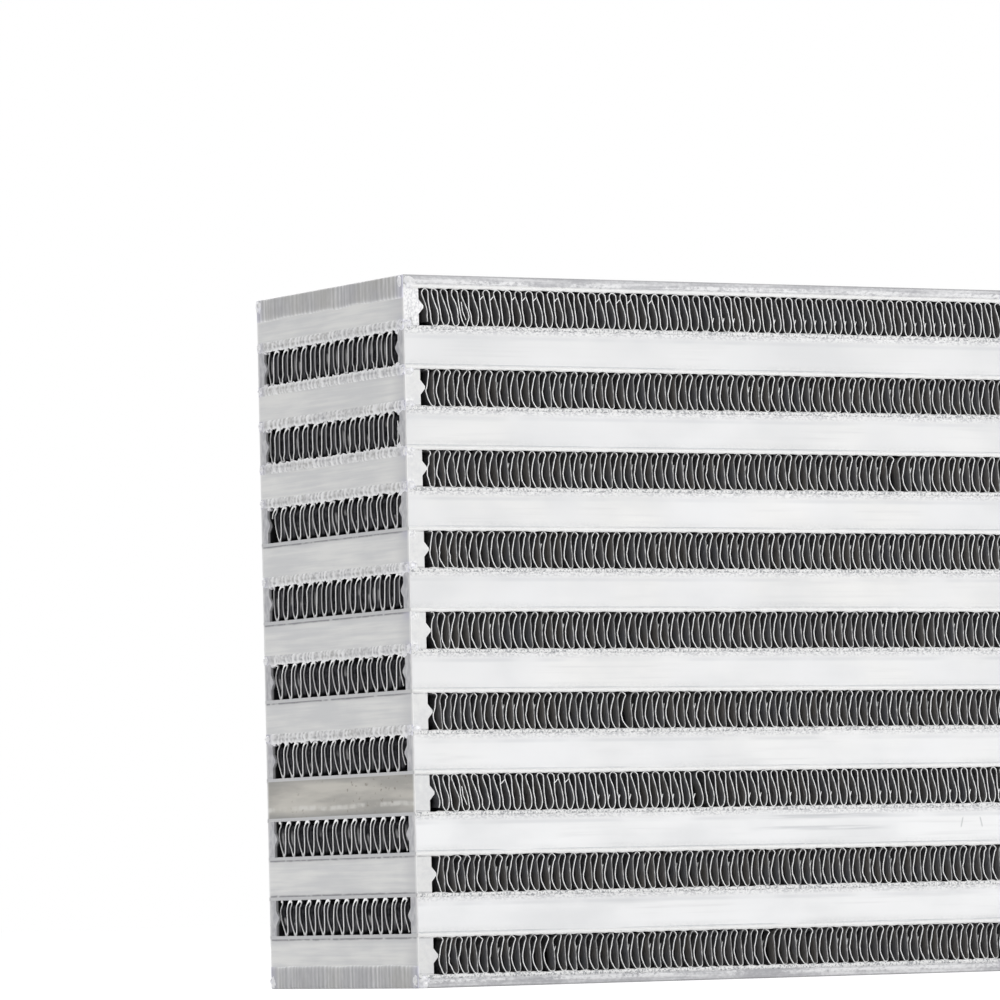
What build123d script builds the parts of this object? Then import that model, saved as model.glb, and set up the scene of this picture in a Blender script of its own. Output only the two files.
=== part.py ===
"""Brazed aluminium bar-and-plate intercooler core, without its end tanks.

Layers are stacked along +Z. Rows that cooling air crosses from front to back take turns with rows
that charge air crosses from left to right. Parting sheets lie between the rows, and a side plate
closes each end of the stack. The front face is at -Y, and the tanks would be welded to the left
and right header faces. All sizes are in millimetres, and the origin is the middle of the base.
"""

import os

from build123d import *

# The whole core
core_length = 215.9
core_depth = 76.2
air_rows = 9

# Heights of the layers
air_height = 9.2
charge_height = 8.9
sheet_thickness = 0.8
side_plate_thickness = 2.4
side_plate_edge_chamfer = 0.3

# Bars that close the rows: flat outside, with a pointed nose towards the fin
end_bar_width = 4.2
long_bar_width = 3.3
nose_reach = 1.3
nose_base_height = 3.6
nose_shoulder_reach = 0.8
nose_shoulder_height = 1.7
nose_tip_height = 0.6

# Folded fins
air_fin_wave = 3.0
air_fin_foil = 0.2
charge_fin_wave = 4.95
charge_fin_foil = 0.25
fin_end_gap = 0.15
fin_setback = 0.4

# Welds run over the brazed edges of the header faces
weld_width = 2.3
weld_rise = 0.4
seam_weld_width = 5.6
seam_weld_rise = 0.5
rows_welded_above = 6
rows_welded_below = 2

# Places in the stack
charge_rows = air_rows - 1
row_pitch = air_height + charge_height + 2 * sheet_thickness
first_air_floor = side_plate_thickness + sheet_thickness
core_height = 2 * first_air_floor + air_rows * air_height + charge_rows * (row_pitch - air_height)
top_plate_bottom = core_height - side_plate_thickness
left_face = -core_length / 2
front_face = -core_depth / 2
front_plane = Plane.XZ.offset(-front_face)
left_plane = Plane.YZ.offset(left_face)


def air_floor(row):
    """Lower side of an air row, counted from 1 at the base."""
    return first_air_floor + (row - 1) * row_pitch


def charge_floor(row):
    """Lower side of a charge row, counted from 1 at the base."""
    return air_floor(row) + air_height + sheet_thickness


def keep(builder, name):
    """Label a finished piece and write it to its own file."""
    builder.part.label = name
    export_step(builder.part, f"parts/{name}.step")
    print(f"{name}: {builder.part.volume:.0f} mm3")


def bar_section(plane, outer, bottom, width, height):
    """Section of a bar, with its flat side at outer and its nose towards +x on the plane."""
    inner = outer + width
    middle = bottom + height / 2
    upper_half = [
        (inner + nose_reach, middle + nose_tip_height / 2),
        (inner + nose_shoulder_reach, middle + nose_shoulder_height / 2),
        (inner, middle + nose_base_height / 2),
        (inner, bottom + height),
        (outer, bottom + height),
    ]
    lower_half = [(x, 2 * middle - y) for x, y in reversed(upper_half)]
    with BuildSketch(plane) as section:
        with BuildLine():
            Polyline(*upper_half, *lower_half, close=True)
        make_face()
    return section.sketch


def fin_section(plane, half_span, bottom, height, wave, foil):
    """Section of a folded foil that runs from -half_span to half_span and touches both sheets.

    The foil's thickness is measured along the row, within a few percent of its gauge. The number
    of folds is the nearest whole one, and the folds share the span.
    """
    folds = max(2, round(4 * half_span / wave))
    step = (2 * half_span - foil) / folds
    notch = foil * height / (step + foil)
    first_crest = -half_span + foil / 2
    upper = []
    lower = []
    for fold in range(folds + 1):
        along = first_crest + fold * step
        if fold % 2 == 0:
            upper.append((along, bottom + height))
            lower.append((along, bottom + height - notch))
        else:
            upper.append((along, bottom + notch))
            lower.append((along, bottom))
    with BuildSketch(plane) as section:
        with BuildLine():
            Polyline(*upper, *reversed(lower), close=True)
        make_face()
    return section.sketch


def weld_section(plane, face, outward, bottom, width, rise):
    """Section of a weld bead: flat on the header face, domed away from it."""
    with BuildSketch(plane) as section:
        with BuildLine():
            Line((face, bottom), (face, bottom + width))
            crest = (face + outward * rise, bottom + width / 2)
            ThreePointArc((face, bottom + width), crest, (face, bottom))
        make_face()
    return section.sketch


os.makedirs("parts", exist_ok=True)

# Side plates: thick plates that close the stack, their outer edges slightly broken
side_plates = (("side_plate_bottom", 0, 0), ("side_plate_top", top_plate_bottom, -1))
for name, plate_bottom, outer_face_place in side_plates:
    with BuildPart() as side_plate:
        with BuildSketch(Plane.XY.offset(plate_bottom)):
            Rectangle(core_length, core_depth)
        extrude(amount=side_plate_thickness)
        outer_face = side_plate.faces().sort_by(Axis.Z)[outer_face_place]
        chamfer(outer_face.edges(), side_plate_edge_chamfer)
    keep(side_plate, name)

# Parting sheets: one below and one above each air row
sheet_bottoms = []
for row in range(1, air_rows + 1):
    sheet_bottoms += [air_floor(row) - sheet_thickness, air_floor(row) + air_height]
for place, sheet_bottom in enumerate(sheet_bottoms, start=1):
    with BuildPart() as parting_sheet:
        with BuildSketch(Plane.XY.offset(sheet_bottom)):
            Rectangle(core_length, core_depth)
        extrude(amount=sheet_thickness)
    keep(parting_sheet, f"parting_sheet_{place:02d}")

# End bars: a pair closes the left and right ends of each air row
for row in range(1, air_rows + 1):
    with BuildPart() as end_bars:
        section = bar_section(front_plane, left_face, air_floor(row), end_bar_width, air_height)
        extrude(section, -core_depth)
        mirror(about=Plane.YZ)
    keep(end_bars, f"end_bars_{row}")

# Long bars: a pair closes the front and back of each charge row
for row in range(1, charge_rows + 1):
    with BuildPart() as long_bars:
        section = bar_section(left_plane, front_face, charge_floor(row), long_bar_width, charge_height)
        extrude(section, core_length)
        mirror(about=Plane.XZ)
    keep(long_bars, f"long_bars_{row}")

# Air fins: folds cross the core from front to back, between the noses of the end bars
air_half_span = core_length / 2 - end_bar_width - nose_reach - fin_end_gap
air_fin_front = front_plane.offset(-fin_setback)
for row in range(1, air_rows + 1):
    with BuildPart() as air_fin:
        section = fin_section(
            air_fin_front, air_half_span, air_floor(row), air_height,
            air_fin_wave, air_fin_foil,
        )
        extrude(section, 2 * fin_setback - core_depth)
    keep(air_fin, f"air_fin_{row}")

# Charge fins: folds run the length of the core, between the noses of the long bars
charge_half_span = core_depth / 2 - long_bar_width - nose_reach - fin_end_gap
charge_fin_left = left_plane.offset(fin_setback)
for row in range(1, charge_rows + 1):
    with BuildPart() as charge_fin:
        section = fin_section(
            charge_fin_left, charge_half_span, charge_floor(row), charge_height,
            charge_fin_wave, charge_fin_foil,
        )
        extrude(section, core_length - 2 * fin_setback)
    keep(charge_fin, f"charge_fin_{row}")

# Header welds: a wide seam over the edge of each side plate, and beads at the mouths of the charge
# rows. The rows nearest the top have a bead above and below the mouth, and the next ones above only.
seams = [0, core_height - seam_weld_width]
beads = [charge_floor(charge_rows - place) + charge_height for place in range(rows_welded_above)]
beads += [charge_floor(charge_rows - place) - weld_width for place in range(rows_welded_below)]
for name, face, outward in (("header_welds_left", left_face, -1), ("header_welds_right", -left_face, 1)):
    with BuildPart() as header_welds:
        for bottom in seams:
            section = weld_section(front_plane, face, outward, bottom, seam_weld_width, seam_weld_rise)
            extrude(section, -core_depth)
        for bottom in beads:
            section = weld_section(front_plane, face, outward, bottom, weld_width, weld_rise)
            extrude(section, -core_depth)
    keep(header_welds, name)

print(f"core {core_length} x {core_depth} x {core_height:.1f} mm")
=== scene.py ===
"""Brazed aluminium bar-and-plate intercooler core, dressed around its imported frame.

The sections follow the core as it is put together: side plates, parting sheets, bars, fins, braze
and header welds. The bench and the lamps come last. Lengths are in metres, and mm makes them.
"""

import random
from math import cos, pi, radians

import bpy
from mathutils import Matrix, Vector, noise


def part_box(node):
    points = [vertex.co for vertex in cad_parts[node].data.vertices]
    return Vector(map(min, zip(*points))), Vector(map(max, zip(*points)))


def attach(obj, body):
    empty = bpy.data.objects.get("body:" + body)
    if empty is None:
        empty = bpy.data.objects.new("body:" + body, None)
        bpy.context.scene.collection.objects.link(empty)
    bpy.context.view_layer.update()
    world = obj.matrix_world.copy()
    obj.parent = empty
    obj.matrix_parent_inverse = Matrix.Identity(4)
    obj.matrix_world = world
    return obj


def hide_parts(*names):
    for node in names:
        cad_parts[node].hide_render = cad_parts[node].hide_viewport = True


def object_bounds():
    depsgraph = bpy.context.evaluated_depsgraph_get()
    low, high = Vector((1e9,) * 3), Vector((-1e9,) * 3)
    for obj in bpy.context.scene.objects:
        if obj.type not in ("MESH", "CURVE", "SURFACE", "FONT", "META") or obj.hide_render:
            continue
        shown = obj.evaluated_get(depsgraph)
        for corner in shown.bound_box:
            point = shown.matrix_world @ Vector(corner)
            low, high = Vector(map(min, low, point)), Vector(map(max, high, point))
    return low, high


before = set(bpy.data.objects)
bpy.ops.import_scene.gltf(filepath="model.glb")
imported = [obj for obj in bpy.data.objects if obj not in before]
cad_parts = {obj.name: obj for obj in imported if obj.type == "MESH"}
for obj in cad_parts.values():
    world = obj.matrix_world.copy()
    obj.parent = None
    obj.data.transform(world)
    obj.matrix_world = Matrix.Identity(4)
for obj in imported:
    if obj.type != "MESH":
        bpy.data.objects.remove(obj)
cad_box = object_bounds()
bpy.ops.object.select_all(action="DESELECT")
mm = 0.001
core_height = cad_box[1].z


# Side plates: two flat aluminium plates, 2.4 mm thick, that close the stack above and below.
# Sawn to size, so their edges are greyer than the bars and streaked along the cut.
class Signal:
    """One output of a shader node. Arithmetic on it adds Math nodes."""

    def __init__(self, tree, socket=None):
        self.tree = tree
        self.socket = socket

    def node(self, kind, settings=(), inputs=(), output=0):
        """Add a node: its settings first, then the values or links of its sockets."""
        made = self.tree.nodes.new("ShaderNode" + kind)
        for name, value in dict(settings).items():
            setattr(made, name, value)
        for name, value in dict(inputs).items():
            if isinstance(value, Signal):
                self.tree.links.new(value.socket, made.inputs[name])
            else:
                made.inputs[name].default_value = value
        return Signal(self.tree, made.outputs[output] if made.outputs else None)

    def maths(self, operation, *values):
        return self.node("Math", {"operation": operation}, dict(enumerate(values)))

    def __add__(self, other):
        return self.maths("ADD", self, other)

    def __sub__(self, other):
        return self.maths("SUBTRACT", self, other)

    def __mul__(self, other):
        return self.maths("MULTIPLY", self, other)

    def __mod__(self, other):
        return self.maths("FLOORED_MODULO", self, other)

    def __abs__(self):
        return self.maths("ABSOLUTE", self)

    def larger(self, other):
        return self.maths("MAXIMUM", self, other)

    def rise(self, low, high):
        """0 at low, 1 at high and smooth between. With low above high it falls instead."""
        limits = {"Value": self, "From Min": low, "From Max": high}
        return self.node("MapRange", {"interpolation_type": "SMOOTHSTEP"}, limits)

    def near(self, middle, reach, core):
        """1 within core of the middle and 0 from reach on, to either side."""
        return abs(self - middle).rise(reach, core)

    def tint(self, off, on):
        """Colour that turns from off to on as this mask goes from 0 to 1."""
        off, on = [colour if isinstance(colour, Signal) else (*colour, 1) for colour in (off, on)]
        return self.node("Mix", {"data_type": "RGBA"}, {0: self, 6: off, 7: on}, output=2)

    def parts(self):
        """The x, y and z of a vector."""
        split = self.node("SeparateXYZ", inputs={"Vector": self}).socket.node
        return [Signal(self.tree, socket) for socket in split.outputs]

    def grain(self, size, stretch=(1, 1, 1), detail=3):
        """Noise about 0.5 over this place, in patches of about that size."""
        turned = self.node("Mapping", inputs={"Vector": self, "Scale": stretch})
        return self.node("TexNoise", inputs={"Vector": turned, "Scale": 1 / size, "Detail": detail})

    def relief(self, depth):
        """Normal of a surface that this height, from 0 to 1, raises by up to depth."""
        return self.node("Bump", inputs={"Height": self, "Distance": depth})

    def metal(self, metallic, roughness, normal):
        """Close the material with a metal of this colour."""
        sockets = {"Base Color": self, "Metallic": metallic, "Roughness": roughness, "Normal": normal}
        self.node("OutputMaterial", inputs={"Surface": self.node("BsdfPrincipled", inputs=sockets)})


def new_finish(name):
    """An empty material, and the place on the piece as a signal."""
    finish = bpy.data.materials.new(name)
    finish.use_nodes = True
    finish.node_tree.nodes.clear()
    return finish, Signal(finish.node_tree).node("TexCoord", output="Object")


def dress(finish, *names):
    """Give CAD nodes a finish. Their meshes stay as packed."""
    for name in names:
        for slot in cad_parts[name].material_slots:
            slot.material = finish


plate_thickness = 2.4 * mm
half_height = core_height / 2

side_plate_finish, place = new_finish("sawn_plate")
x, y, z = place.parts()
from_sheet = abs(z - half_height) - (half_height - plate_thickness)
streaks = place.grain(0.9 * mm, (0.05, 0.05, 1), 5)
clouds = place.grain(12 * mm, (0.4, 0.4, 1))
rough = place.grain(0.55 * mm, (0.6, 0.6, 1), 4)
rolled = place.grain(0.9 * mm, (0.015, 1, 1), 4)
splashed = from_sheet.rise(1.5 * mm, 0.9 * mm) * place.grain(16 * mm).rise(0.35, 0.6)
sawn_edge = streaks * 1.1 + clouds + rough * (splashed * 1.4 + 0.5) - 0.85 - splashed * 0.45
outer_face = from_sheet.rise(plate_thickness - 0.1 * mm, plate_thickness - 0.02 * mm)
brushed_face = rolled * 0.9 + clouds * 0.5 - 0.1
tone = (sawn_edge - outer_face * sawn_edge + outer_face * brushed_face).rise(0.15, 0.85)
# Painted shade darkens the sawn face towards its chamfered outer edge
painted_edge_shade = from_sheet.rise(1.95 * mm, 2.15 * mm)
joint = from_sheet.near(0.25 * mm, 0.22 * mm, 0.05 * mm) * clouds.rise(0.3, 0.6)
colour = tone.tint((0.42, 0.42, 0.44), (0.82, 0.82, 0.83))
colour = (painted_edge_shade * 0.45).tint(colour, (0.36, 0.36, 0.37))
colour = (joint * 0.45).tint(colour, (0.38, 0.38, 0.40))
colour.metal(0.35, streaks * 0.3 + 0.38, (streaks * 0.5 + rough * splashed).relief(0.09 * mm))
dress(side_plate_finish, "side_plate_top", "side_plate_bottom")


# Parting sheets: 0.8 mm sheets clad with brazing alloy, one above and one below each air row.
# They keep the two airs apart. Between the fins they are dark, because little light gets in.
sheets = [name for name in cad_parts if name.startswith("parting_sheet")]
face_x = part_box("parting_sheet_01")[1].x
face_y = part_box("parting_sheet_01")[1].y


def on_faces(place, face):
    """Mask that is 1 on the two faces that far from the middle, for a place's x or y."""
    return abs(place).rise(face - 0.3 * mm, face - 0.1 * mm)


sheet_finish, place = new_finish("clad_sheet")
x, y, z = place.parts()
mottle = place.grain(5 * mm)
speckle = place.grain(0.5 * mm, detail=2)
between_fins = abs(x).rise(face_x - 0.3 * mm, face_x - 3 * mm)
between_fins = between_fins * abs(y).rise(face_y - 0.2 * mm, face_y - 1.5 * mm)
colour = mottle.rise(0.3, 0.7).tint((0.76, 0.77, 0.79), (0.86, 0.86, 0.85))
colour = (on_faces(x, face_x) * 0.6).tint(colour, (0.50, 0.50, 0.52))
colour = between_fins.tint(colour, (0.035, 0.035, 0.04))
colour.metal(0.3, mottle * 0.2 + 0.4, speckle.relief(0.05 * mm))
dress(sheet_finish, *sheets)


# End bars: extruded bars that close the air rows beside the header faces, one pair a row. Their flat
# backs and the sheet edges between them were ground smooth together before the mouths were welded.
row_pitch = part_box("air_fin_2")[0].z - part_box("air_fin_1")[0].z
air_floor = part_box("air_fin_1")[0].z
air_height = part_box("air_fin_1")[1].z - air_floor
half_air = air_height / 2
air_rows = len([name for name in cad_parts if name.startswith("air_fin")])
top_floor = air_floor + (air_rows - 1) * row_pitch
end_bar_inside = face_x - 4.2 * mm
stained_row = 3
# Colour of the painted highlight along the rounded upright corners
corner_highlight_colour = (0.88, 0.88, 0.88)
deep_joint_shade = (0.26, 0.26, 0.26)


def painted_corner_highlight(x, y):
    """Mask that is 1 along the core's upright edges, which were knocked round; a painted highlight there
    stands for the light they catch.
    """
    return abs(y).rise(face_y - 1.1 * mm, face_y - 0.1 * mm) * on_faces(x, face_x)


end_bar_finish, place = new_finish("ground_end_bar")
x, y, z = place.parts()
mottle = place.grain(7 * mm, (1, 0.3, 1), 5)
scratches = place.grain(0.8 * mm, (1, 1, 0.08), 3)
rough = place.grain(0.5 * mm, (1, 1, 0.7), 5)
ground = place.grain(1.0 * mm, (1, 0.04, 1), 4)
on_header = on_faces(x, face_x)
on_front = on_faces(y, face_y)
from_front = y + face_y
above_plain_mouths = z.rise(3.5 * row_pitch, 4 * row_pitch)

# The joints with the sheets, at half_air from a bar's middle, are dark and ragged, and painted shade
# lies beside them on the header faces
to_joint = abs((z - air_floor) % row_pitch - half_air)
shade = to_joint.rise(half_air - 1.6 * mm, half_air - 0.2 * mm) * on_header
ragged = to_joint + place.grain(6 * mm, (1, 1, 0.2)) * (0.5 * mm)
joint = ragged.rise(half_air - 0.35 * mm, half_air + 0.1 * mm) * place.grain(2.5 * mm).rise(0.22, 0.5)
colour = (mottle + ground * 0.8 - 0.4).rise(0.25, 0.75).tint((0.685, 0.69, 0.70), (0.83, 0.83, 0.82))
colour = (shade * 0.3).tint(colour, (0.50, 0.50, 0.52))
colour = (joint * 0.85).tint(colour, (0.20, 0.20, 0.22))

# Near the front corner the header face is darkened with painted shade, and the welding left a tint
# beside the beads
painted_corner_shade = from_front.rise(9 * mm, 0.6 * mm) * on_header * mottle.rise(0.2, 0.5)
hot = to_joint.rise(half_air - 3.2 * mm, half_air - 0.6 * mm) * on_header
hot = hot * from_front.rise(5.5 * mm, 1 * mm) * above_plain_mouths
colour = (painted_corner_shade * 0.45).tint(colour, (0.52, 0.52, 0.55))
colour = (hot * 0.6).tint(colour, (0.50, 0.50, 0.60))

# Their fronts are duller, and weld metal splashed them beside the beads and all over the top one
beside_bead = to_joint.rise(half_air - 2.6 * mm, half_air - 1.2 * mm) * above_plain_mouths
beside_bead = beside_bead * (abs(x) * (1 / mm) + rough * 2).rise(face_x / mm - 2, face_x / mm)
top_row = z.rise(top_floor - 0.2 * row_pitch, top_floor - 0.1 * row_pitch)
splashed = on_front * beside_bead.larger(top_row * 0.9)
spatter = rough.rise(0.34, 0.62).tint((0.60, 0.60, 0.62), (0.92, 0.92, 0.92))
colour = (on_front * 0.35).tint(colour, (0.60, 0.60, 0.605))
colour = (splashed * 0.8).tint(colour, spatter)

# One bar on the left header face is stained: brown smears, a tide mark and specks of rust, with deeper
# painted shade towards its joints above and below
in_stained_row = z - (air_floor + (stained_row - 1) * row_pitch + half_air)
on_left = x.rise(1 * mm, -1 * mm)
stained = abs(in_stained_row).rise(0.8 * air_height, 0.6 * air_height) * on_header * on_left
smears = place.grain(4 * mm, (1, 0.12, 1), 4).rise(0.33, 0.67)
tide = abs(in_stained_row * (1 / mm) + place.grain(14 * mm, (1, 1, 0.3)) * 1.6 + 1.6).rise(0.9, 0.2)
tide = tide * place.grain(5 * mm).rise(0.35, 0.6)
specks = place.grain(1.3 * mm, (1, 0.7, 1), 3).rise(0.60, 0.68) * place.grain(13 * mm).rise(0.50, 0.58)
colour = (stained * 0.9).tint(colour, smears.tint((0.36, 0.345, 0.315), (0.60, 0.575, 0.52)))
colour = (stained * tide * 0.7).tint(colour, (0.76, 0.75, 0.72))
# Painted shade, deeper in this row, towards the joints below and above
colour = (stained * in_stained_row.rise(-2.6 * mm, -4.6 * mm) * 0.6).tint(colour, deep_joint_shade)
colour = (stained * in_stained_row.rise(3.0 * mm, 4.4 * mm) * 0.4).tint(colour, deep_joint_shade)
colour = (stained * specks * 0.7).tint(colour, (0.26, 0.23, 0.19))

# The top bar has a slanting nick at the foot of its front
up_top_bar = z - top_floor
across_nick = (x + face_x - 2.0 * mm) * 2 + up_top_bar * 0.35
nick = up_top_bar.near(1.1 * mm, 1.1 * mm, 0.7 * mm) * from_front.rise(1 * mm, 0)
nick = nick * across_nick.near(0.4 * mm, 0.9 * mm, 0.4 * mm)
colour = (nick * 0.7).tint(colour, (0.34, 0.34, 0.35))

# The noses stand in the dark of the row
nose = abs(x).rise(end_bar_inside + 0.2 * mm, end_bar_inside + 0.05 * mm)
nose = nose * abs(y).rise(face_y - 0.2 * mm, face_y - 1 * mm)
# Painted highlight along the rounded upright corners
colour = (painted_corner_highlight(x, y) * 0.8).tint(colour, corner_highlight_colour)
colour = nose.tint(colour, (0.08, 0.08, 0.085))
colour.metal(0.35, mottle * 0.2 + 0.35, (scratches * 0.3 + rough * splashed).relief(0.07 * mm))
dress(end_bar_finish, *[f"end_bars_{row + 1}" for row in range(air_rows)])


# Long bars: the same bars on the front and back faces, closing the charge rows. Bare extruded
# aluminium, bright and faintly mottled, with a dull band where brazing alloy wetted their edges.
charge_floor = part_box("long_bars_1")[0].z
charge_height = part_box("long_bars_1")[1].z - charge_floor
charge_rows = air_rows - 1
long_bar_inside = face_y - 3.3 * mm
marked_row = 2

long_bar_finish, place = new_finish("extruded_long_bar")
x, y, z = place.parts()
up = (z - charge_floor) % row_pitch
mottle = place.grain(11 * mm, (0.5, 1, 1), 4)
drift = place.grain(30 * mm)
scratches = place.grain(0.6 * mm, (0.06, 1, 1), 3)
streaks = place.grain(0.9 * mm, (0.03, 1, 1), 4).rise(0.5, 0.75) * drift.rise(0.42, 0.6)
# Painted light: the bars are lighter towards the bottom of the stack and darker towards the top
painted_light_low_rows = z.rise(95 * mm, 25 * mm)
painted_shade_high_rows = z.rise(110 * mm, 165 * mm)
colour = drift.rise(0.35, 0.65).tint((0.808, 0.812, 0.822), (0.835, 0.833, 0.825))
colour = (painted_light_low_rows * 0.8).tint(colour, (0.905, 0.91, 0.92))
colour = (painted_shade_high_rows * 0.8).tint(colour, (0.765, 0.768, 0.775))
colour = (streaks * 0.35).tint(colour, (0.66, 0.66, 0.67))
colour = (mottle.rise(0.45, 0.75) * 0.4).tint(colour, (0.74, 0.75, 0.765))

# Alloy wetted the lower edge and splashed the upper one, with a painted soft shadow line under the
# splashes
rough = place.grain(0.42 * mm, (0.6, 1, 1), 4)
patches = place.grain(18 * mm)
wetted = up.rise(2.2 * mm, 0.1 * mm) * place.grain(22 * mm).rise(0.3, 0.6)
splashed = up.rise(charge_height - 1.7 * mm, charge_height - 0.2 * mm) * patches.rise(0.2, 0.5)
painted_shadow_line = up.near(charge_height - 1.9 * mm, 0.7 * mm, 0.1 * mm) * patches.rise(0.3, 0.6)
colour = (wetted * 0.45).tint(colour, rough.rise(0.3, 0.7).tint((0.60, 0.61, 0.62), (0.78, 0.78, 0.78)))
spatter = rough.rise(0.36, 0.62).tint((0.56, 0.56, 0.58), (0.90, 0.90, 0.90))
colour = (splashed * 0.9).tint(colour, spatter)
colour = (painted_shadow_line * 0.4).tint(colour, (0.60, 0.61, 0.63))

# The ends were burnt by the welding, and a thin line shows where a bar meets the sheet below
burnt = place.grain(1.3 * mm, (1, 1, 0.6), 4).rise(0.3, 0.7)
joint = up.near(0.3 * mm, 0.16 * mm, 0.05 * mm) * place.grain(9 * mm, (0.4, 1, 1), 4).rise(0.35, 0.55)
colour = (on_faces(x, face_x) * 0.8).tint(colour, burnt.tint((0.36, 0.36, 0.395), (0.60, 0.60, 0.615)))
colour = (joint * 0.6).tint(colour, (0.42, 0.44, 0.47))

# One bar is marked in front: two rows of grey smudges, and two short scratches that lean together
on_front = (y + face_y).rise(0.3 * mm, 0.1 * mm)
up_marked_bar = z - (charge_floor + (marked_row - 1) * row_pitch)
smudge = abs(up_marked_bar - 5.7 * mm).near(1.5 * mm, 0.8 * mm, 0.2 * mm) * on_front
smudge = smudge * x.near(8 * mm, 24 * mm, 10 * mm) * place.grain(1 * mm, (0.05, 1, 1)).rise(0.35, 0.6)
lean = (up_marked_bar - 5 * mm) * 0.25
scratch = (abs(x - 53 * mm) + lean).near(2.9 * mm, 0.3 * mm, 0.12 * mm)
scratch = scratch * up_marked_bar.near(5.0 * mm, 1.5 * mm, 0.9 * mm) * on_front
colour = (smudge * 0.6).tint(colour, (0.50, 0.51, 0.53))
colour = (scratch * 0.6).tint(colour, (0.46, 0.47, 0.48))

# The noses are dark, apart from the rear ones just inside the mouths, which face the light
nose = abs(y).rise(long_bar_inside + 0.2 * mm, long_bar_inside + 0.05 * mm)
nose = nose * abs(x).rise(face_x - 0.05 * mm, face_x - 0.4 * mm)
lit = y.rise(-1 * mm, 1 * mm) * abs(x).rise(face_x - 0.9 * mm, face_x - 0.35 * mm)
# Painted highlight along the rounded upright corners
colour = (painted_corner_highlight(x, y) * 0.7).tint(colour, corner_highlight_colour)
colour = nose.tint(colour, lit.tint((0.012, 0.012, 0.014), (0.70, 0.70, 0.72)))
colour.metal(0.3, mottle * 0.2 + 0.38, (scratches * 0.2 + rough * splashed).relief(0.1 * mm))
dress(long_bar_finish, *[f"long_bars_{row + 1}" for row in range(charge_rows)])


# Air fins: thin foil folded back and forth between the sheets, brazed at every fold. Cooling air
# runs through it from front to back. The rolls that fold it leave each wave a little out of true.
air_foil = 0.20 * mm
air_fin_wave = 3.0 * mm
bend_steps = 2
fold_begins = 0.40
fold_ends = 0.48
lance_setback = 0.1 * mm
lance_depth = 1.5 * mm

# How uneven the waves are, as shares of a wave or of the height. The crowded ones beside the first
# bar were pushed together and bent when it was clamped, and a few of the others stand wide.
crowded_stretch = 0.92
wide_stretch = 1.3
wide_chance = 0.01
pitch_spread = 0.022
crowded_lean_spread = 0.12
lean_spread = 0.04
crowded_dent = 0.035
dent = 0.014
leg_lift = 0.012

# One wave as (waves along the row, share of the row's height, how far it is a left leg, whose wall
# gets painted shade and whose edge a painted highlight): down the left leg, round the fold on the
# lower sheet, up the right leg and over the upper fold. The leaning wave is listed from its lower fold
# on.
upright_wave = [
    (0.36, 0.90, 1.0), (0.24, 0.80, 1.0), (0.13, 0.65, 1.0), (0.05, 0.52, 1.0), (0.00, 0.42, 1.0),
    (0.03, 0.30, 1.0), (0.13, 0.19, 1.0), (0.40, 0.03, 0.8), (0.60, 0.00, 0.5), (0.78, 0.03, 0.2),
    (0.81, 0.12, 0.0), (0.76, 0.36, 0.0), (0.71, 0.62, 0.0), (0.68, 0.78, 0.0), (0.75, 0.87, 0.1),
    (0.89, 0.95, 0.2), (1.07, 1.00, 0.3), (1.26, 0.97, 0.7),
]
leaning_wave = [
    (0.57, 0.01, 0.7), (0.75, 0.10, 0.7), (0.81, 0.24, 0.7), (0.76, 0.40, 0.7), (0.58, 0.62, 0.7),
    (0.36, 0.82, 0.7), (0.31, 0.93, 0.7), (0.55, 1.00, 0.8), (0.90, 0.93, 0.9), (0.95, 0.70, 1.0),
    (1.00, 0.46, 1.0), (1.09, 0.30, 1.0), (1.13, 0.13, 0.9), (1.33, 0.00, 0.8),
]
# Lances: slits that let the air cross a leg, with their lips standing out towards its neighbour
upper_lance = ((0.36, 0.84), (-0.04, 0.72))
lower_lance = ((0.12, 0.25), (0.24, 0.38))
shoulder_lance = ((0.74, 0.50), (0.87, 0.67))
torn_leg = ((0.24, 0.66), (0.28, 0.42), (0.28, 0.42), (0.56, 0.17))


def folded_line(wave, length, start, end, lead, rolls, crowded=-1, crowd_lean=0):
    """Points along a foil folded from start to end, as (along, share of the height, leg) vectors,
    and where each wave is. The first wave begins before the start, by that lead in waves. The
    waves up to the crowded one are crowded, which by default none is.
    """
    knots = []
    waves = []
    at = start - lead * length
    while at < end + length:
        if start - length / 2 < at < start + crowded * length:
            stretch = crowded_stretch
            middle_lean, spread, bent = crowd_lean, crowded_lean_spread, crowded_dent
        else:
            stretch = wide_stretch if rolls.random() < wide_chance else 1
            middle_lean, spread, bent = 0, lean_spread, dent
        pitch = length * rolls.gauss(1, pitch_spread) * stretch
        lean = rolls.gauss(middle_lean, spread)
        waves.append((at, pitch, lean))
        for along, up, leg in wave:
            slip = lean * (up - 0.5) + rolls.gauss(0, bent)
            lift = rolls.uniform(-leg_lift, leg_lift) if 0.1 < up < 0.9 else 0
            knots.append(Vector((at + pitch * (along + slip), up + lift, leg)))
        at += pitch
    line = []
    for a, b, c, d in zip(knots, knots[1:], knots[2:], knots[3:]):
        for step in range(bend_steps):
            t = step / bend_steps
            bend = (c - a) + t * ((2 * a - 5 * b + 4 * c - d) + t * (3 * (b - c) + d - a))
            line.append(b + 0.5 * t * bend)
    return [point for point in line if start <= point.x <= end], waves


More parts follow.
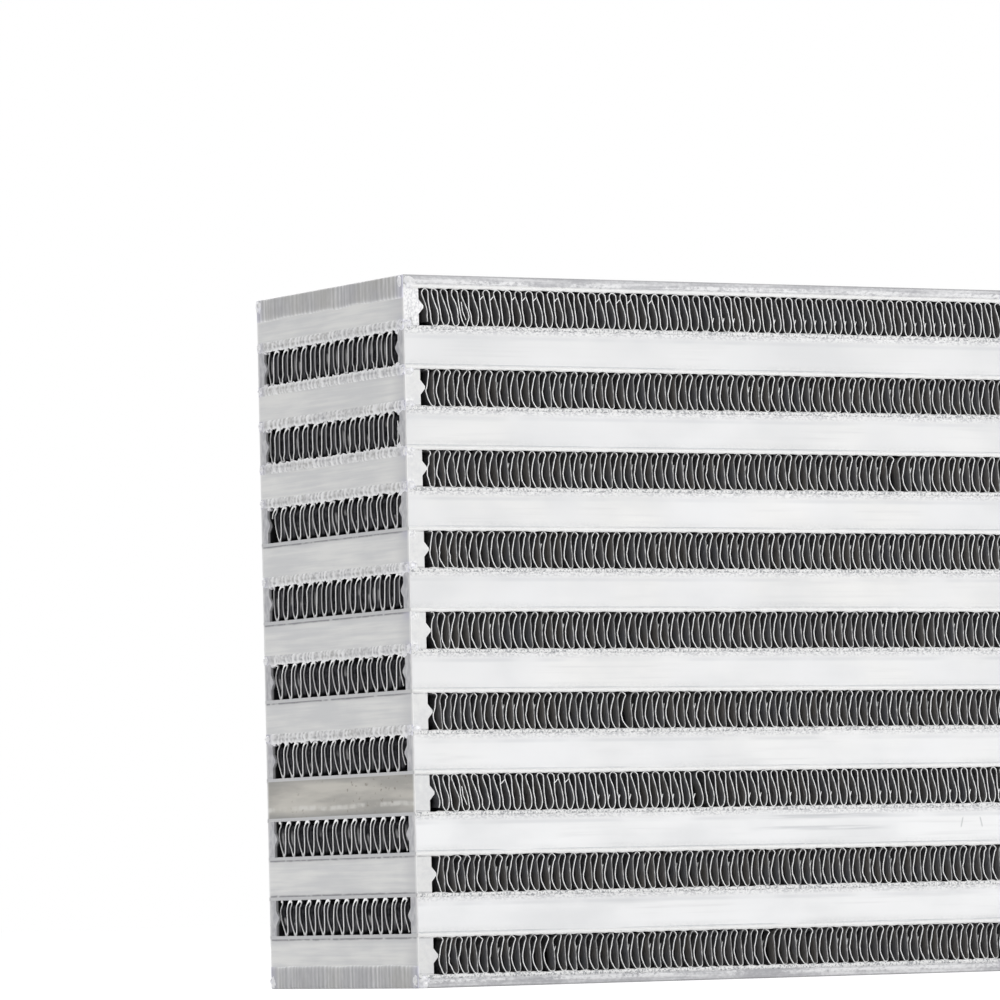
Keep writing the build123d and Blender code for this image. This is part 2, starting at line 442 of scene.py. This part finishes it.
def folded_foil(name, line, lances, low, high, lie, foil_gauge, fold_gauge):
    """A flat foil with a column of points for each point of the line, folded to follow it.

    low and high are the corners of the space between the bars, as (along, through, up), and lie
    turns such a place into x, y and z. The folds may be thicker than the legs, by the braze in them.
    """
    floor = low[2] + foil_gauge / 2
    height = high[2] - low[2] - foil_gauge

    def lay(sheet, ends, columns, near, far):
        """Put a flat sheet's columns of points where the ends say, from near to far through the row."""
        points = [ends[round((vertex.co.x + 0.5) * columns)] for vertex in sheet.data.vertices]
        folds = sheet.vertex_groups.new(name="folds")
        for number, (along, up, leg) in enumerate(points):
            folded = (abs(up - 0.5) - fold_begins) / (fold_ends - fold_begins)
            folds.add([number], min(max(folded, 0), 1), "REPLACE")
        legs = sheet.data.attributes.new("leg", "FLOAT", "POINT")
        for vertex, (along, up, leg) in zip(sheet.data.vertices, points):
            through = near + (vertex.co.y + 0.5) * (far - near)
            legs.data[vertex.index].value = leg
            vertex.co = lie(along, through, floor + height * min(max(up, 0), 1))

    bpy.ops.mesh.primitive_grid_add(x_subdivisions=len(line) - 1, y_subdivisions=1, size=1)
    foil = bpy.context.object
    lay(foil, line, len(line) - 1, low[1], high[1])
    if lances:
        # Every second face of the strip only joins one lance to the next, and goes
        columns = len(lances) - 1
        bpy.ops.mesh.primitive_grid_add(x_subdivisions=columns, y_subdivisions=1, size=1)
        lips = bpy.context.object
        bpy.ops.object.mode_set(mode="EDIT")
        bpy.ops.mesh.select_mode(type="FACE")
        bpy.ops.mesh.select_all(action="DESELECT")
        bpy.ops.object.mode_set(mode="OBJECT")
        for polygon in lips.data.polygons:
            polygon.select = int((polygon.center.x + 0.5) * columns) % 2 == 1
        bpy.ops.object.mode_set(mode="EDIT")
        bpy.ops.mesh.delete(type="FACE")
        bpy.ops.object.mode_set(mode="OBJECT")
        lay(lips, lances, columns, low[1] + lance_setback, low[1] + lance_setback + lance_depth)
        foil.select_set(True)
        bpy.context.view_layer.objects.active = foil
        bpy.ops.object.join()
    foil.name = name
    gauge = foil.modifiers.new("gauge", "SOLIDIFY")
    gauge.thickness = fold_gauge
    gauge.offset = 0
    gauge.vertex_group = "folds"
    gauge.thickness_vertex_group = foil_gauge / fold_gauge
    bpy.ops.object.modifier_apply(modifier=gauge.name)
    bpy.ops.object.mode_set(mode="EDIT")
    bpy.ops.mesh.select_all(action="SELECT")
    bpy.ops.mesh.normals_make_consistent(inside=False)
    bpy.ops.object.mode_set(mode="OBJECT")
    bpy.ops.object.shade_smooth_by_angle(angle=radians(50))
    foil.select_set(False)
    return foil


air_fin_finish, place = new_finish("folded_air_fin")
x, y, z = place.parts()
leg = place.node("Attribute", {"attribute_name": "leg"}, output="Fac")
air_fin_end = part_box("air_fin_1")[1].y
# Painted light: a painted highlight on the cut edges, strongest on left legs and at glints, and painted
# shade on the walls, darkest behind left legs and deep in the passages
cut_edge = abs(y).rise(air_fin_end - 0.30 * mm, air_fin_end - 0.10 * mm)
deep = abs(y).rise(air_fin_end - 2.2 * mm, air_fin_end - 4.2 * mm)
dust = place.grain(0.6 * mm)
warmth = place.grain(9 * mm)
glint = place.grain(1.5 * mm, detail=2)
wall = warmth.rise(0.35, 0.65).tint((0.40, 0.41, 0.44), (0.45, 0.425, 0.40))
wall = leg.rise(0.55, 1).tint(wall, (0.11, 0.11, 0.115))
wall = (dust.rise(0.5, 0.75) * 0.4).tint(wall, (0.42, 0.42, 0.42))
wall = deep.tint(wall, (0.015, 0.015, 0.017))
edge = (glint * 1.5 + leg * 0.6 - 0.48).rise(0.1, 0.9).tint((0.34, 0.34, 0.34), (0.98, 0.98, 0.98))
colour = cut_edge.tint(wall, edge)
colour.metal(0.3, dust * 0.3 + 0.35, dust.relief(0.03 * mm))

# In two rows the waves lean, and they start over the first bar's nose. Their waves with lances and
# the torn ones are numbered from the third wave, which is 0. The other rows have lances in about
# one wave of four.
nose_overhang = 0.7 * mm
upper_lanced = {9: {*range(4, 12), *range(15, 21), *range(60, 68)}, 3: {*range(4, 12)}}
lower_lanced = {9: {*range(26, 42), *range(45, 53)}, 3: {*range(14, 84)}}
torn_wave = {9: 2, 3: 1}
lance_chance = {9: 0.8, 3: 0.55}
for row in range(1, air_rows + 1):
    low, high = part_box(f"air_fin_{row}")
    rolls = random.Random(100 + row)
    leans = row in torn_wave
    if leans:
        start = low.x - nose_overhang
        line, waves = folded_line(leaning_wave, air_fin_wave, start, high.x, 0.13, rolls, 3.8, -0.25)
    else:
        line, waves = folded_line(upright_wave, air_fin_wave, low.x, high.x, 0.935, rolls, 3.5, -0.05)
    lances = []
    for number, (at, pitch, lean) in enumerate(waves[2:-2]):
        if not leans:
            lance = shoulder_lance
            cut = number > 3 and rolls.random() < 0.6 and rolls.random() < 0.4
        elif number == torn_wave[row]:
            lance = torn_leg
            cut = True
        else:
            lance = lower_lance if number in lower_lanced[row] else upper_lance
            cut = number in upper_lanced[row] | lower_lanced[row] and rolls.random() < lance_chance[row]
        if cut:
            for along, up in lance:
                lances.append((at + pitch * (along + lean * (up - 0.5)), up, 0.9 if leans else 0.1))
    foil = folded_foil(
        f"folded_air_fin_{row}", line, lances, low, high, lambda a, t, u: (a, t, u), air_foil, air_foil
    )
    foil.data.materials.append(air_fin_finish)
    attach(foil, "root")
    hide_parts(f"air_fin_{row}")


# Charge fins: heavier foil, folded the other way, that carries the engine's air from one header face
# to the other. Its tight folds lean over at the upper sheet and are filled with braze.
charge_foil = 0.27 * mm
charge_fold = 0.75 * mm
charge_fin_wave = 4.95 * mm

# Waves as for the air fins, but from the back to the front: down the first leg, round the lower fold
# and up the second one, which stands upright and carries the brightest painted highlight in the mouth
upright_charge_wave = [
    (0.60, 0.95, 0.5), (0.57, 0.87, 0.3), (0.52, 0.76, 0.2), (0.50, 0.50, 0.2), (0.54, 0.22, 0.3),
    (0.64, 0.08, 0.4), (0.77, 0.00, 0.7), (0.91, 0.06, 0.9), (0.98, 0.18, 1.0), (1.00, 0.45, 1.0),
    (1.00, 0.74, 1.0), (1.06, 0.84, 1.0), (1.20, 0.93, 1.0), (1.42, 1.00, 0.8),
]
slanted_charge_wave = [
    (0.56, 0.95, 0.5), (0.50, 0.87, 0.4), (0.38, 0.78, 0.3), (0.34, 0.62, 0.3), (0.42, 0.42, 0.4),
    (0.56, 0.24, 0.5), (0.70, 0.10, 0.6), (0.84, 0.00, 0.8), (0.96, 0.06, 0.9), (1.00, 0.20, 1.0),
    (1.00, 0.45, 1.0), (1.00, 0.70, 1.0), (1.05, 0.82, 1.0), (1.18, 0.92, 1.0), (1.38, 1.00, 0.8),
]
waisted_charge_wave = [
    (0.60, 0.94, 0.5), (0.55, 0.86, 0.4), (0.50, 0.74, 0.2), (0.49, 0.50, 0.2), (0.50, 0.27, 0.2),
    (0.60, 0.16, 0.4), (0.66, 0.06, 0.5), (0.78, 0.00, 0.8), (0.93, 0.05, 0.9), (0.94, 0.15, 0.9),
    (1.00, 0.26, 1.0), (1.00, 0.50, 1.0), (1.00, 0.74, 1.0), (1.06, 0.84, 1.0), (1.20, 0.93, 1.0),
    (1.42, 1.00, 0.8),
]

charge_fin_finish, place = new_finish("folded_charge_fin")
x, y, z = place.parts()
leg = place.node("Attribute", {"attribute_name": "leg"}, output="Fac")
charge_fin_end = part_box("charge_fin_1")[1].x
up = ((z - charge_floor) % row_pitch) * (1 / charge_height)
# Painted light: a painted highlight on the cut edges and glints, dimmed at the lower folds, and painted
# shade on the walls: a dark gap just behind the edge, darker deeper in and darkest in the folds
cut_edge = abs(x).rise(charge_fin_end - 0.28 * mm, charge_fin_end - 0.12 * mm)
painted_gap_shade = abs(x).near(charge_fin_end - 0.45 * mm, 0.22 * mm, 0.1 * mm)
deep = abs(x).rise(charge_fin_end - 0.9 * mm, charge_fin_end - 1.9 * mm)
in_folds = up.rise(0.80, 0.90) + up.rise(0.16, 0.06)
dust = place.grain(1.1 * mm)
glint = place.grain(3 * mm, (0.03, 1, 0.3), 1).rise(0.56, 0.62) * up.near(0.5, 0.34, 0.05)
glint = glint * abs(x).near(charge_fin_end - 1.0 * mm, 0.5 * mm, 0.1 * mm)
wall = (leg * 0.6 + dust * 0.9 - 0.2).rise(0.1, 0.9).tint((0.05, 0.05, 0.06), (0.32, 0.32, 0.35))
wall = deep.tint(wall, (0.018, 0.018, 0.026))
wall = (painted_gap_shade * 0.85).tint(wall, (0.012, 0.012, 0.014))
wall = glint.tint(wall, (0.97, 0.97, 0.98))
wall = in_folds.tint(wall, (0.006, 0.006, 0.008))
edge = leg.tint((0.44, 0.44, 0.45), (0.98, 0.98, 0.98))
edge = (up.rise(0.14, 0.03) * 0.6).tint(edge, (0.20, 0.20, 0.21))
colour = cut_edge.tint(wall, edge)
colour.metal(cut_edge * 0.5 - glint * 0.4 + 0.4, dust * 0.3 + 0.3, dust.relief(0.03 * mm))

# From the base up; the top two rows are waisted at both ends
charge_waves = [slanted_charge_wave] * 4
charge_waves += [upright_charge_wave, slanted_charge_wave]
charge_waves += [waisted_charge_wave] * 2
for row, wave in enumerate(charge_waves, start=1):
    low, high = [Vector((corner.y, corner.x, corner.z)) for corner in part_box(f"charge_fin_{row}")]
    rolls = random.Random(200 + row)
    lead = 0.96 + min(along for along, up, leg in wave)
    line, waves = folded_line(wave, charge_fin_wave, low.x, high.x, lead, rolls)
    foil = folded_foil(
        f"folded_charge_fin_{row}", line, [], low, high, lambda a, t, u: (t, -a, u),
        charge_foil, charge_fold,
    )
    foil.data.materials.append(charge_fin_finish)
    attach(foil, "root")
    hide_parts(f"charge_fin_{row}")


# Braze seams: alloy that ran out of the joints in the furnace and froze along every sheet's edge on
# the front and back faces. A bright line, a little proud of the bars, and rough below the air fins.
seam_height = 1.0 * mm
seam_reach = 0.22 * mm
bright_alloy = (0.97, 0.97, 0.965)

seam_finish, place = new_finish("braze_seam")
x, y, z = place.parts()
speckle = place.grain(0.5 * mm, detail=4)
below_fin = ((z - air_floor) % row_pitch).rise(row_pitch - 2 * mm, row_pitch - 1.6 * mm)
smooth = speckle.rise(0.2, 0.4).tint((0.80, 0.80, 0.81), bright_alloy)
rough = speckle.rise(0.36, 0.56).tint((0.44, 0.45, 0.47), bright_alloy)
colour = below_fin.tint(smooth, rough)
colour.metal(0.2, 0.5, (speckle * (below_fin * 0.7 + 0.3)).relief(0.12 * mm))

bpy.ops.mesh.primitive_cylinder_add(vertices=8, radius=1, depth=2 * face_x, rotation=(0, pi / 2, 0))
plain_seam = bpy.context.object
bpy.ops.object.transform_apply()


def divide_along(tube, axis, cuts):
    """Cut the long edges of a tube into equal steps, and then all its edges in two but the ends'."""
    bpy.ops.object.mode_set(mode="EDIT")
    bpy.ops.mesh.select_mode(type="EDGE")
    bpy.ops.mesh.select_all(action="DESELECT")
    bpy.ops.object.mode_set(mode="OBJECT")
    for edge in tube.data.edges:
        ends = [tube.data.vertices[end].co[axis] for end in edge.vertices]
        edge.select = abs(ends[0] - ends[1]) > 1 * mm
    bpy.ops.object.mode_set(mode="EDIT")
    bpy.ops.mesh.subdivide(number_cuts=cuts)
    bpy.ops.mesh.subdivide(number_cuts=1)
    bpy.ops.object.mode_set(mode="OBJECT")


def copies(plain, count):
    """The plain piece and copies of it, each with its own mesh."""
    made = [plain]
    for _ in range(count - 1):
        copy = plain.copy()
        copy.data = plain.data.copy()
        bpy.context.collection.objects.link(copy)
        made.append(copy)
    return made


def joined(pieces, name):
    """The pieces as one mesh under a new name."""
    bpy.ops.object.select_all(action="DESELECT")
    for piece in pieces:
        piece.select_set(True)
    bpy.context.view_layer.objects.active = pieces[0]
    bpy.ops.object.join()
    whole = bpy.context.object
    whole.name = name
    bpy.ops.object.shade_smooth_by_angle(angle=radians(60))
    whole.select_set(False)
    return whole


def uneven(along, size, *others):
    """Noise about 0 that changes over that size along a seam, and with the other values."""
    return noise.noise(Vector((along / size, *others)))


divide_along(plain_seam, 0, 100)
strips = copies(plain_seam, 2 * len(sheets))
for face, side in (("front", -1), ("back", 1)):
    face_strips = strips[:len(sheets)] if side < 0 else strips[len(sheets):]
    for sheet, strip in zip(sheets, face_strips):
        low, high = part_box(sheet)
        middle = (low.z + high.z) / 2
        for vertex in strip.data.vertices:
            along, out, up = vertex.co
            swell = 1 + 0.5 * uneven(along, 1.6 * mm, middle / mm, side * 9)
            swell += 0.3 * uneven(along, 0.7 * mm, middle / mm, up)
            out = side * face_y + out * seam_reach * swell
            vertex.co = (along, out, middle + up * seam_height / 2 * swell)
    seams = joined(face_strips, f"braze_seams_{face}")
    seams.data.materials.append(seam_finish)
    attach(seams, "root")


# Header welds: beads run by hand over the brazed edges of the header faces, above and below the
# mouths, with a wide flat seam at each side plate. Each stroke of the torch left a ripple. Metal
# ran into the corners of the mouths and piled up at the core's own corners.
ripple_pitch = 2.3 * mm
ridge_pitch = 1.9 * mm
bead_reach = 0.35 * mm
buried = 0.05
wide_bead = 4 * mm
drip = 0.35 * mm
hot_corner = 4 * mm
sunk_start = 7 * mm
mouth_end = 3.3 * mm

weld_finish, place = new_finish("rippled_weld")
bright = place.node("Attribute", {"attribute_name": "bright"}, output="Fac")
heated = place.node("Attribute", {"attribute_name": "heated"}, output="Fac")
tone = place.grain(1.0 * mm, (1, 1, 0.45), 2)
warmth = place.grain(14 * mm)
# The bright attribute is partly painted light: painted highlights on crests, ridges and the ragged lip,
# and painted shade in the hollows and pits
hollow = warmth.rise(0.35, 0.65).tint((0.38, 0.38, 0.40), (0.405, 0.40, 0.39))
colour = (bright + tone * 0.3 - 0.15).rise(0, 1).tint(hollow, (0.93, 0.93, 0.94))
colour = (heated * 0.6).tint(colour, bright.tint((0.40, 0.40, 0.56), (0.86, 0.86, 0.98)))
colour.metal(0.3, tone * 0.25 + 0.3, tone.relief(0.05 * mm))


def shape(piece, move):
    """Move a weld's points one by one. Each also gets its brightness, which is partly painted light, and
    its heat tint.
    """
    values = []
    for vertex in piece.data.vertices:
        place, *value = move(vertex.co.copy())
        place.z = min(max(place.z, 0.1 * mm), core_height - 0.1 * mm)
        vertex.co = place
        values.append(value)
    for column, name in enumerate(("bright", "heated")):
        layer = piece.data.attributes.new(name, "FLOAT", "POINT")
        for number, value in enumerate(values):
            layer.data[number].value = value[column]
    return piece


def heat_from_corner(along):
    """Heat tint of a weld: strongest at the core's upright edges."""
    return 0.9 * max(0, 1 - (face_y - abs(along)) / hot_corner)


def sunk_at_back(along):
    """The welds were started low at the back: their rise grows from a tenth to the whole."""
    return min(1, 0.1 + (face_y - along) / sunk_start)


def seam_point(unit, side, middle, half_width, row_side):
    """Wide seam: flat and dull, with faint straight ridges and a border that fades into the row."""
    across, along, out = unit.z * row_side, unit.y, max(-buried, unit.x)
    wander = uneven(along, 5 * mm, middle / mm, side)
    fine = uneven(along, 0.45 * mm, 0.5 * across, middle / mm)
    to_row = max(0, across)
    border = 1 + 0.15 * to_row * uneven(along, 9 * mm, middle / mm, 7)
    turn = (along + 1.2 * mm * wander) / ridge_pitch
    ridge = cos(2 * pi * turn) * (0.6 + 0.8 * wander) + 0.9 * fine
    rise = bead_reach * min(1, 1.8 * out) * (0.75 + 0.12 * ridge) * sunk_at_back(along)
    place = Vector((side * (face_x + rise), along, middle + row_side * half_width * across * border))
    # Painted highlight and painted shade follow the ridges
    bright = 0.32 + 0.14 * ridge + 0.12 * wander + 0.35 * to_row ** 6
    return place, bright, heat_from_corner(along)


def bead_point(unit, side, middle, half_width, mouth):
    """Bead beside a mouth, which is below it where mouth is -1: ripples, pits and a ragged lip."""
    across, along, out = unit.z * mouth, unit.y, max(-buried, unit.x)
    wander = uneven(along, 5 * mm, middle / mm, side)
    stroke = uneven(along, 3 * mm, middle / mm, 3)
    tooth = uneven(along, 1.1 * mm, middle / mm, 5)
    fine = uneven(along, 0.6 * mm, 2 * across, middle / mm)
    turn = (along + 0.4 * mm * across * across + 2.2 * mm * wander) / ripple_pitch
    crest = (0.5 + 0.5 * cos(2 * pi * turn)) ** 1.5 * (0.7 + 1.4 * stroke)
    lip = max(0, across)
    pit = max(0, 1 - abs(across - 0.25 - 0.3 * stroke) / 0.3) * (1 - crest) * (0.6 + 1.2 * stroke)
    rise = out * (0.7 + 0.3 * crest + 0.25 * fine) + 0.8 * lip * max(0, tooth)
    rise = bead_reach * rise * sunk_at_back(along)
    ragged = lip ** 3 * drip * (0.5 + 1.8 * tooth)
    height = half_width * across * (1 + 0.12 * fine) + ragged
    place = Vector((side * (face_x + rise), along, middle + mouth * height))
    # Painted highlight on the crests and the lip, painted shade in the pits; the contrast fades at the
    # back
    bright = 0.46 + 0.5 * crest * (1 - 0.5 * lip) - 0.4 * pit + 0.38 * fine + 0.55 * lip ** 4
    bright = 0.4 + (bright - 0.4) * sunk_at_back(along)
    return place, bright, heat_from_corner(along)


def lump_point(unit, centre, size, seed):
    """Lump of weld metal, with folds in it."""
    rough = 1 + 0.20 * noise.noise(unit * 1.3 + seed) + 0.16 * noise.noise(unit * 3.5 + seed)
    place = centre + Vector((unit.x * size.x, unit.y * size.y, unit.z * size.z)) * rough
    bright = 0.95 + 0.8 * noise.noise(unit * 2.8 - seed)
    heated = 0.25 + 0.8 * noise.noise(unit * 1.5 - seed)
    return place, bright, heated


def lump(side, end, inset, height, size):
    """A ball of metal at the front or back end, set in from both faces, shaped into a lump."""
    bpy.ops.mesh.primitive_ico_sphere_add(subdivisions=4, radius=1)
    centre = Vector((side * (face_x - inset[0]), end * (face_y - inset[1]), height))
    seed = centre / mm
    return shape(bpy.context.object, lambda unit: lump_point(unit, centre, size, seed))


for side, name in ((-1, "left"), (1, "right")):
    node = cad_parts[f"header_welds_{name}"]
    corners = [vertex.co for vertex in node.data.vertices if abs(abs(vertex.co.x) - face_x) < 0.01 * mm]
    edges = sorted({round(corner.z, 5) for corner in corners})
    spans = list(zip(edges[::2], edges[1::2]))
    bpy.ops.mesh.primitive_cylinder_add(vertices=16, radius=1, depth=2 * face_y, rotation=(pi / 2, 0, 0))
    plain_bead = bpy.context.object
    bpy.ops.object.transform_apply()
    divide_along(plain_bead, 1, 110)
    welds = []
    for bead, (low, high) in zip(copies(plain_bead, len(spans)), spans):
        middle = (low + high) / 2
        half_width = (high - low) / 2
        if high - low > wide_bead:
            row_side = 1 if middle < air_floor + air_height else -1
            welds.append(shape(bead, lambda unit: seam_point(unit, side, middle, half_width, row_side)))
            plate_joint = middle - row_side * (half_width - 1.7 * mm)
            for end in (-1, 1):
                size = Vector((2.2, 1.7, 2.2)) * mm
                welds.append(lump(side, end, (1.5 * mm, 1.2 * mm), plate_joint, size))
            continue
        mouth = -1 if (low - charge_floor) % row_pitch < charge_height + 1 * mm else 1
        welds.append(shape(bead, lambda unit: bead_point(unit, side, middle, half_width, mouth)))
        lip_height = middle + mouth * (half_width + 0.2 * mm)
        for end in (-1, 1):
            size = Vector((1.65, 1.3, 1.4)) * mm
            welds.append(lump(side, end, (1.1 * mm, 0.85 * mm), middle, size))
            size = (Vector((0.9, 1.7, 1.0)) if end < 0 else Vector((0.8, 0.8, 0.6))) * mm
            welds.append(lump(side, end, (0.7 * mm, mouth_end + 0.3 * mm), lip_height, size))
    whole = joined(welds, f"rippled_welds_{name}")
    bpy.ops.object.select_all(action="DESELECT")
    whole.select_set(True)
    bpy.ops.object.mode_set(mode="EDIT")
    bpy.ops.mesh.select_all(action="SELECT")
    bpy.ops.mesh.normals_make_consistent(inside=False)
    bpy.ops.object.mode_set(mode="OBJECT")
    whole.select_set(False)
    whole.data.materials.append(weld_finish)
    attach(whole, "root")
    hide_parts(f"header_welds_{name}")


# Studio: the core stands on a white bench before a white backdrop. A long lens looks at its front
# left corner from just above the bench. The key softbox lights the front more than the header face.
scene = bpy.context.scene
scene.view_settings.view_transform = "Standard"
bpy.ops.object.camera_add(
    location=(-0.94396, -1.54451, 0.01890),
    rotation=(radians(93.2830), radians(1.3533), radians(-29.6936)),
)
scene.camera = bpy.context.object
scene.camera.name = "camera"
scene.camera.data.lens = 256.19
scene.camera.data.sensor_width = 36


def seen_by_eye(start):
    """1 for rays from the camera, from a polished surface or through glass."""
    kinds = ("Camera", "Glossy", "Transmission")
    camera, glossy, through = [start.node("LightPath", output=f"Is {kind} Ray") for kind in kinds]
    return camera.larger(glossy.larger(through))


soft_fill = 0.45
scene.world = bpy.data.worlds.new("white_backdrop")
scene.world.use_nodes = True
scene.world.node_tree.nodes.clear()
start = Signal(scene.world.node_tree)
strength = seen_by_eye(start) * (1 - soft_fill) + soft_fill
backdrop = start.node("Background", inputs={"Color": (1, 1, 1, 1), "Strength": strength})
start.node("OutputWorld", inputs={"Surface": backdrop})

softboxes = (
    ("key_softbox", (0.9, -1.6, 0.5), 1.1, 7.7),
    ("header_softbox", (-1.8, -0.3, 0.7), 1.0, 1),
    ("top_softbox", (0.0, 0.1, 1.7), 1.2, 6),
    ("back_softbox", (0.3, 1.8, 0.9), 1.2, 10),
)
middle_of_core = Vector((0, 0, 0.09))
for name, location, size, power in softboxes:
    aim = (middle_of_core - Vector(location)).to_track_quat("-Z", "Y").to_euler()
    bpy.ops.object.light_add(type="AREA", location=location, rotation=aim)
    softbox = bpy.context.object
    softbox.name = name
    softbox.data.size = size
    softbox.data.energy = power

bpy.ops.mesh.primitive_plane_add(size=16)
bench = bpy.context.object
bench.name = "bench"
bench_finish, place = new_finish("white_bench")
matt = place.node("BsdfDiffuse", inputs={"Color": (0.85, 0.85, 0.85, 1)})
lift = place.node("Emission", inputs={"Color": (1, 1, 1, 1), "Strength": 0.62})
lifted = place.node("AddShader", inputs={0: matt, 1: lift})
mixed = place.node("MixShader", inputs={0: seen_by_eye(place), 1: matt, 2: lifted})
place.node("OutputMaterial", inputs={"Surface": mixed})
bench.data.materials.append(bench_finish)
